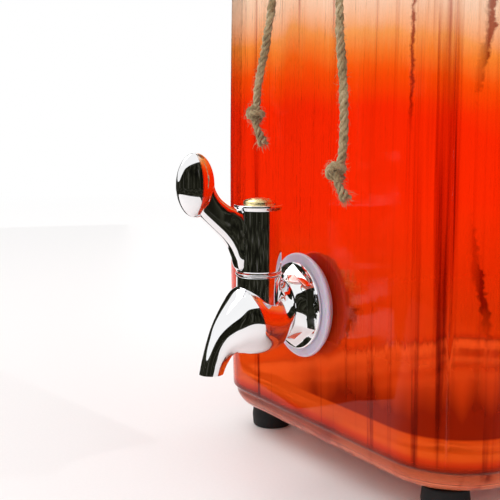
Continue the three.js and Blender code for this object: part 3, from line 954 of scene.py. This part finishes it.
BODY_STATIONS = [
    ((12.15, 10.2), (12.15, -10.6), 10.3),
    ((13.1, 7.4), (13.1, -12.2), 10.2),
    ((15.4, 5.2), (15, -14.2), 10.3),
    ((20.7, 6.4), (19.5, -15.5), 10.6),
    ((25.6, 8.8), (24, -15.5), 10.8),
    ((29.2, 8.2), (27.8, -14.8), 10),
    ((32.6, 4.3), (30.6, -14.4), 8.6),
    ((36, -0.2), (31.8, -14.8), 7),
    ((38.9, -5), (32.6, -15.6), 5.6),
    ((41.2, -10.6), (33.4, -17), 4.7),
    ((42.8, -15.8), (34.4, -18.6), 4.35),
    ((43.9, -20.8), (35.4, -20.8), 4.25),
]
ARM_STATIONS = [
    ((22, 35.2), (22, 13.9), 3),
    ((28.6, 35.5), (28.8, 14.4), 2.9),
    ((31, 36.2), (30.8, 18.8), 2.7),
    ((33, 37.1), (32.5, 22.4), 2.5),
    ((35, 38.5), (34.9, 25.6), 2.4),
    ((36.7, 40.1), (38, 28.6), 2.35),
    ((38.2, 42.5), (41.3, 31.6), 2.3),
    ((39.5, 45.7), (43.6, 33.9), 2.25),
    ((42.5, 48), (45, 36.5), 2.2),
]
ARM_SQUARENESS = 4.6
EGG_HALF_THICKNESS = 3.5
EGG_HALF_DEPTH = 7
EGG_HALF_HEIGHT = 10.8
EGG_FORWARD = 45.2
EGG_HEIGHT = 44.3
HUB_RADIUS = 8.0
HUB_BOTTOM = 13.6
HUB_TOP = 36.2


def swell(value, squareness):
    """A cosine or sine bent towards a box: 2 leaves an ellipse, more makes it squarer."""
    return math.copysign(abs(value) ** (2 / squareness), value)


def limb(stations, sections, sides, squareness=2.0):
    """Points and faces of a closed swelling arm in the tap's middle plane."""
    tops = [(f, h, 0) for (f, h), _, _ in stations]
    feet = [(f, h, 0) for _, (f, h), _ in stations]
    halves = [(half, 0, 0) for _, _, half in stations]
    points, faces = [], []
    for j in range(sections + 1):
        t = j / sections
        top, foot, half = catmull(tops, t), catmull(feet, t), catmull(halves, t).x
        middle = (top + foot) / 2
        reach = (top - foot) / 2
        for i in range(sides):
            angle = 2 * math.pi * i / sides
            place = middle + reach * swell(math.cos(angle), squareness)
            points.append((half * swell(math.sin(angle), squareness), DATUM_Y - place.x, INLET_Z + place.y))
    for j in range(sections):
        for i in range(sides):
            k = (i + 1) % sides
            faces.append([j * sides + i, j * sides + k, (j + 1) * sides + k, (j + 1) * sides + i])
    faces.append(list(range(sides)))
    faces.append(list(range(sections * sides, (sections + 1) * sides)))
    return points, faces


def hub_piece(name, profile, segments, material, sharp=35.0, closed=False):
    """A piece turned about the lever's axis, with heights counted from the inlet."""
    points, faces = revolve(profile, segments, closed)
    return mesh_piece(name, upright(points, 0, HUB_Y, INLET_Z), faces, material, sharp)


def inlet_piece(name, profile, segments, material, sharp=35.0, closed=False):
    points, faces = revolve(profile, segments, closed)
    return mesh_piece(name, forward(points), faces, material, sharp)


def make_tap_body():
    body = mesh_piece("tap_casting", *limb(BODY_STATIONS, 64, 72), CHROME)
    neck_profile = fillet([(0, -4), (7.9, -4), (7.9, 12.2, 0.4), (6, 12.2), (6, 9), (0, 9)])
    neck = hub_piece("neck", neck_profile, 96, CHROME)
    boolean(body, neck, "UNION")
    barrel = inlet_piece("barrel", [(0, 5), (7.8, 5), (7.8, 14), (0, 14)], 96, CHROME)
    boolean(body, barrel, "UNION")
    outlet_points, outlet_faces = limb([
        ((41.2, -14), (36.4, -15.4), 2.9), ((42.6, -17.6), (37.2, -18.4), 2.95),
        ((43.6, -21.6), (38, -21.6), 2.95),
    ], 8, 40)
    outlet = mesh_piece("outlet", outlet_points, outlet_faces, CHROME)
    boolean(body, outlet, "DIFFERENCE")
    placed(body, "jar", "tap_chrome", "tap_body")
    thread = []
    pitch = 1.5
    start = -16.6
    for i in range(14):
        base = start + i * pitch
        thread += [(7.1, base), (7.8, base + 0.55), (7.8, base + 0.75), (7.1, base + 1.3)]
    profile = [(3.6, -17), (6.8, -17)] + thread + [(7.4, 5), (7.4, 6.2), (3.6, 6.2)]
    shank = inlet_piece("tap_shank", profile, 64, CHROME, closed=True)
    placed(shank, "jar", "tap_chrome", "tap_body")


HEX_TURN = math.radians(4)


def hexagon(angle):
    """Reach of a hexagon with corners of radius 1, the first of them at angle 0."""
    within = (angle % (math.pi / 3)) - math.pi / 6
    return math.cos(math.pi / 6) / math.cos(within)


def ring_faces(rows, segments):
    """Faces between a ring's rows of points and from its last row back to its first."""
    faces = []
    for j in range(rows):
        low, high = j * segments, (j + 1) % rows * segments
        for i in range(segments):
            k = (i + 1) % segments
            faces.append([low + i, low + k, high + k, high + i])
    return faces


def make_collar():
    """A chrome ring whose middle is pressed to a hexagon. Its rows give radius, height and hexagon share."""
    segments = 144
    rows = [
        (8.4, 4.6, 0), (15.3, 4.6, 0), (15.5, 4.7, 0), (15.6, 4.9, 0), (15.6, 5.5, 0), (15.5, 5.75, 0),
        (15.25, 5.9, 0.05), (15.0, 5.95, 0.9), (14.9, 6.05, 1), (13.75, 7.65, 1), (13.65, 7.8, 1),
        (13.5, 7.95, 1), (13.3, 8.15, 0.98), (12.0, 9.9, 0.5), (10.8, 11.6, 0.04), (10.65, 11.8, 0),
        (10.4, 11.9, 0), (9.9, 11.8, 0), (9.2, 11.3, 0), (8.4, 11.0, 0),
    ]
    points = []
    for radius, height, share in rows:
        for i in range(segments):
            angle = 2 * math.pi * i / segments
            reach = radius * (1 + share * (hexagon(angle) - 1))
            turn = angle + math.pi / 2 + HEX_TURN
            points.append((reach * math.cos(turn), reach * math.sin(turn), height))
    collar = mesh_piece("collar", forward(points), ring_faces(len(rows), segments), CHROME, 18)
    placed(collar, "jar", "tap_chrome", "hex_collar")


def make_seals():
    outside = fillet([
        (8.8, 0.8), (17.0, 0.8, 0.8), (18.9, 3.2, 1.0), (18.6, 4.3, 0.7), (8.8, 4.3),
    ], 8)
    seal = inlet_piece("outside_seal", outside, 96, SEAL, 60, closed=True)
    placed(seal, "jar", "clear_silicone", "outer_washer")
    inside = fillet([(8.8, -8.4), (18.4, -8.4, 0.9), (18.4, -5.7, 0.9), (8.8, -5.7)], 6)
    seal = inlet_piece("inside_seal", inside, 96, SEAL, 60, closed=True)
    placed(seal, "jar", "clear_silicone", "inner_washer")
    flat = fillet([(8.5, -10), (16, -10, 0.3), (16, -8.7, 0.3), (8.5, -8.7)], 3)
    washer = inlet_piece("thin_washer", flat, 96, STEEL, closed=True)
    placed(washer, "jar", "plain_steel", "nut_washer")


def make_nut():
    """Hexagonal nut with both faces chamfered."""
    segments = 96
    corner = 14.5
    rows = [(8.2, -10.3), (12.3, -10.3), (14.5, -11.4), (14.5, -14.8), (12.3, -15.9), (8.2, -15.9)]
    points = []
    for radius, height in rows:
        for i in range(segments):
            angle = 2 * math.pi * i / segments
            reach = min(radius, corner * hexagon(angle))
            points.append((reach * math.cos(angle), reach * math.sin(angle), height))
    nut = mesh_piece("hex_nut", forward(points), ring_faces(len(rows), segments), STEEL, 25)
    placed(nut, "jar", "plain_steel", "retaining_nut")


def make_lever():
    top = HUB_TOP + 0.7
    hub = hub_piece("lever", fillet([
        (0, 20), (3.3, 20), (3.3, HUB_BOTTOM, 0.2), (HUB_RADIUS, HUB_BOTTOM, 0.5),
        (HUB_RADIUS, HUB_TOP - 1, 0.8), (HUB_RADIUS + 0.6, HUB_TOP, 0.25), (HUB_RADIUS + 0.6, top, 0.3),
        (6.2, top + 0.15, 0.25), (5.6, top - 0.4, 0.2), (5.6, 31), (0, 31),
    ]), 128, CHROME)
    arm = mesh_piece("arm", *limb(ARM_STATIONS, 64, 96, ARM_SQUARENESS), CHROME)
    boolean(hub, arm, "UNION")
    points, faces = revolve([(0, -1)] + arc((0, 0), 1, -87, 87, 58) + [(0, 1)], 96)
    points = [(x * EGG_HALF_THICKNESS, y * EGG_HALF_DEPTH, z * EGG_HALF_HEIGHT) for x, y, z in points]
    egg = mesh_piece("egg", upright(points, 0, DATUM_Y - EGG_FORWARD, INLET_Z + EGG_HEIGHT), faces, CHROME)
    boolean(hub, egg, "UNION")
    well = hub_piece("well", [(0, 31), (5.6, 31), (5.6, 40), (0, 40)], 128, CHROME)
    boolean(hub, well, "DIFFERENCE")
    placed(hub, "lever", "tap_chrome", "lever_handle")


def make_hub_trim():
    cap = hub_piece("brass_cap", fillet([
        (0, 33.8), (5.2, 33.8, 0.2), (5.4, 37.3, 0.3), (5.2, 38.1, 0.5), (4.3, 38.75, 0.6), (3.7, 38.9, 0.15),
        (3.5, 38.65, 0.15), (3.2, 38.7, 0.15), (3.0, 39.05, 0.15), (1.5, 39.3, 2), (0, 39.4),
    ]), 96, BRASS, 30)
    placed(cap, "lever", "cap_brass", "cap_button")
    ring = hub_piece("chrome_ring", fillet([
        (3.4, 8.4), (5.6, 8.4, 0.1), (5.6, 12.45), (8.2, 12.45, 0.35), (8.2, 13.25, 0.35), (3.4, 13.25),
    ]), 96, CHROME, closed=True)
    placed(ring, "jar", "tap_chrome", "bonnet_ring")


def make_tap():
    make_tap_body()
    make_collar()
    make_seals()
    make_nut()
    make_lever()
    make_hub_trim()


make_tap()

# ---------------------------------------------------------------- the lid


def make_lid():
    radius = (lid_high.x - lid_low.x) / 2
    under = 251.7
    top = lid_high.z
    plug_radius = 46.5
    board = fillet([
        (2.8, lid_low.z), (plug_radius, lid_low.z, 0.8), (plug_radius, 242.6), (44.4, 242.6), (44.4, 247),
        (plug_radius, 247), (plug_radius, under, 0.6), (radius, under, 1.6), (radius, top - 0.1, 3.2),
        (radius - 7, top, 3), (radius - 8.4, top - 0.8, 1.2),
        (radius - 10, top - 0.8, 1.2), (radius - 11.4, top, 1),
        (2.8, top),
    ], 6)
    points, faces = revolve(board, 160, closed=True)
    lid = mesh_piece("wooden_lid", upright(points, 0, JAR_Y, 0), faces, WOOD, 30)
    placed(lid, "lid", "lid_wood", "lid")
    foot = knob_low.z
    knob_points = [
        (9.5, 0.4), (9.4, 1.6), (8.4, 3.2), (7.1, 5.4), (7.2, 8), (9.6, 10.4), (12.8, 12.6), (15.2, 15.6),
        (16, 19), (15.2, 22.8), (12.4, 26), (8, 28.1), (3.6, 28.9),
    ]
    curve = [catmull([(r, h, 0) for r, h in knob_points], i / 60)[:2] for i in range(61)]
    profile = [(0, 0), (9, 0)] + [tuple(p) for p in curve] + [(0, 29)]
    points, faces = revolve([(min(r, 16), h + foot) for r, h in profile], 96)
    knob = mesh_piece("turned_knob", upright(points, 0, JAR_Y, 0), faces, WOOD, 30)
    placed(knob, "lid", "lid_wood", "lid_knob")
    ring = fillet([
        (44.8, 243), (46.9, 243, 0.2), (48.4, 244, 0.5),
        (48.4, 245.6, 0.5), (46.9, 246.6, 0.2), (44.8, 246.6),
    ])
    points, faces = revolve(ring, 160, closed=True)
    gasket = mesh_piece("lid_seal", upright(points, 0, JAR_Y, 0), faces, GASKET, 50)
    placed(gasket, "lid", "clear_silicone", "lid_gasket")


make_lid()

# ---------------------------------------------------------------- the twine round the neck

WRAP_TURNS = 3
WRAP_Z = 227
WRAP_PITCH = 3.4


def make_wrap():
    random.seed("wrap")
    radius = NECK_RADIUS + TWINE / 2 + 1.3
    path = []
    count = 300 * WRAP_TURNS
    for i in range(count + 1):
        t = i / count
        angle = 2 * math.pi * WRAP_TURNS * t - math.pi / 2
        height = WRAP_Z + WRAP_PITCH * WRAP_TURNS * t
        path.append(Vector((radius * math.cos(angle), radius * math.sin(angle) + JAR_Y, height)))
    points, faces = merged(rope_shells(path, 3.1) + hair_shells(path, 500, 2.2))
    wrap = mesh_piece("neck_twine", points, faces, JUTE, sharp=80)
    placed(wrap, "jar", "jute_twine", "twine_wrap")
    twine_knot(
        "neck_knot", (0.5, -63.2, 230), (4.0, 2.9, 3.4), 0.15,
        [[(-2, -63, 229), (-3.6, -64.6, 227.8), (-5, -65.8, 226.4)],
         [(3, -63, 229), (4.6, -64.6, 227.8), (6, -65.8, 226.4)]],
        "twine_tie",
    )


make_wrap()

# ---------------------------------------------------------------- carried-over CAD nodes

CARRIED = {
    "handle_screw": STEEL, "valve_stem": BRASS, "stem_o_ring_lower": RUBBER, "stem_o_ring_upper": RUBBER,
    "knob_screw": STEEL, "knob_washer": STEEL,
}
for name, material in CARRIED.items():
    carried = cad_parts[name]
    carried.data.materials.clear()
    carried.data.materials.append(material)

# ---------------------------------------------------------------- floor, flags and light

WHITE = 1.0
FLOOR_REACH = 12000


def stage_mesh(name, points, faces, material):
    mesh = bpy.data.meshes.new(name)
    mesh.from_pydata([Vector(p) * MM for p in points], [], faces)
    mesh.materials.append(material)
    mesh.polygons.foreach_set("use_smooth", [True] * len(mesh.polygons))
    made = bpy.data.objects.new(name, mesh)
    bpy.context.collection.objects.link(made)
    return made


def floor_material():
    """Plain white paper that fades into the white of the backdrop."""
    material, tree, shader = new_material("paper_floor")
    place = node(tree, "ShaderNodeNewGeometry")
    grain = grained(tree, (900, 900, 900))
    paper = ramp(tree, grain, [(0.3, (0.875, 0.845, 0.84)), (0.7, (0.9, 0.872, 0.866))])
    tree.links.new(paper, shader.inputs["Base Color"])
    shader.inputs["Roughness"].default_value = 0.5
    shader.inputs["Specular IOR Level"].default_value = 0.3
    white = node(tree, "ShaderNodeEmission", Strength=WHITE)
    mix = node(tree, "ShaderNodeMixShader")
    reach = node(tree, "ShaderNodeVectorMath", operation="LENGTH")
    tree.links.new(place.outputs["Position"], reach.inputs[0])
    tree.links.new(span(tree, reach.outputs["Value"], 0.25, 1.4, 0.0, 1.0), mix.inputs["Fac"])
    tree.links.new(shader.outputs["BSDF"], mix.inputs[1])
    tree.links.new(white.outputs["Emission"], mix.inputs[2])
    tree.links.new(mix.outputs["Shader"], tree.nodes["Material Output"].inputs["Surface"])
    return material


def flag_material():
    """A dark cloth with faint upright stripes."""
    material, tree, _ = new_material("dark_flag")
    stripes = grained(tree, (9, 9, 0.2), 5.0, 0.7)
    shade = ramp(tree, stripes, [
        (0.35, (0.002, 0.002, 0.002)), (0.5, (0.012, 0.012, 0.007)),
        (0.6, (0.05, 0.05, 0.035)), (0.72, (0.16, 0.14, 0.17)),
    ])
    glow = node(tree, "ShaderNodeEmission", Strength=1.0)
    tree.links.new(shade, glow.inputs["Color"])
    tree.links.new(glow.outputs["Emission"], tree.nodes["Material Output"].inputs["Surface"])
    return material


def glossy_only(made):
    """Hidden from everything but reflections."""
    made.visible_camera = False
    made.visible_diffuse = False
    made.visible_transmission = False
    made.visible_volume_scatter = False
    made.visible_shadow = False


def sky_point(azimuth, elevation, reach):
    """A point seen from the tap's foot in a direction, in degrees, azimuth 0 being the front."""
    turn, rise = math.radians(azimuth), math.radians(elevation)
    flat = reach * math.cos(rise)
    return (flat * math.sin(turn), HUB_Y - flat * math.cos(turn), INLET_Z + reach * math.sin(rise))


def make_wall(outline, cloth):
    """A curved wall. Its outline gives the elevation of its top at some azimuths."""
    rows, reach, bottom = 8, 900, -6
    path = resample([Vector((azimuth, top, 0)) for azimuth, top in outline], 1.5)
    points, faces = [], []
    for place in path:
        for j in range(rows + 1):
            elevation = bottom + (place.y - bottom) * j / rows
            points.append(sky_point(place.x, elevation, reach))
    for i in range(len(path) - 1):
        for j in range(rows):
            a = i * (rows + 1) + j
            b = a + rows + 1
            faces.append([a, b, b + 1, a + 1])
    glossy_only(stage_mesh("studio_wall", points, faces, cloth))


def make_dark_floor(name, azimuths, near, far, cloth):
    """A dark patch over the white paper, seen only in reflections. Near gives its inner edge at both ends."""
    columns = 48
    points, faces = [], []
    for i in range(columns + 1):
        share = i / columns
        turn = math.radians(azimuths[0] + (azimuths[1] - azimuths[0]) * share)
        for reach in (near[0] + (near[1] - near[0]) * smoothstep(share, 0, 1), far):
            points.append((reach * math.sin(turn), HUB_Y - reach * math.cos(turn), 1))
    for i in range(columns):
        faces.append([2 * i, 2 * i + 1, 2 * i + 3, 2 * i + 2])
    glossy_only(stage_mesh(name, points, faces, cloth))


# Azimuth and elevation of the studio wall's top, in degrees
WALL_OUTLINE = [
    (-110, 50), (-84, 46), (-72, 22), (-62, 14), (-46, 12), (-20, 7),
    (10, 9), (32, 20), (55, 31), (110, 34), (175, 31),
]


# Each dark floor patch: its azimuths in degrees, and how near it comes at both ends, in millimetres
DARK_FLOORS = [
    ("dark_floor_left", (-80, -36), (60, 75)),
    ("dark_floor_turn", (-36, -10), (75, 340)),
    ("dark_floor", (-10, 112), (340, 340)),
    ("dark_floor_bend", (112, 134), (340, 100)),
    ("dark_floor_right", (134, 178), (100, 100)),
]
DARK_FLOOR_REACH = 920


def make_flags():
    """The dark studio on the camera's side, open above to a white window."""
    cloth = flag_material()
    make_wall(WALL_OUTLINE, cloth)
    for name, azimuths, near in DARK_FLOORS:
        make_dark_floor(name, azimuths, near, DARK_FLOOR_REACH, cloth)


def make_light():
    reach = FLOOR_REACH
    corners = [(-reach, -reach, 0), (reach, -reach, 0), (reach, reach, 0), (-reach, reach, 0)]
    stage_mesh("floor", corners, [[0, 1, 2, 3]], floor_material())
    world = bpy.data.worlds.new("studio")
    world.use_nodes = True
    world.node_tree.nodes["Background"].inputs["Color"].default_value = (1, 1, 1, 1)
    world.node_tree.nodes["Background"].inputs["Strength"].default_value = WHITE
    bpy.context.scene.world = world
    data = bpy.data.lights.new("softbox", "AREA")
    data.shape = "RECTANGLE"
    data.size = 0.9
    data.size_y = 0.7
    data.energy = 5
    softbox = bpy.data.objects.new("softbox", data)
    softbox.location = (-0.5, -0.45, 1.0)
    direction = Vector((0, 0, 0.1)) - softbox.location
    softbox.rotation_euler = direction.to_track_quat("-Z", "Y").to_euler()
    bpy.context.collection.objects.link(softbox)
    bpy.context.scene.view_settings.view_transform = "Standard"
    bpy.context.scene.cycles.max_bounces = 24
    bpy.context.scene.cycles.transmission_bounces = 24
    bpy.context.scene.cycles.glossy_bounces = 8


make_flags()
make_light()
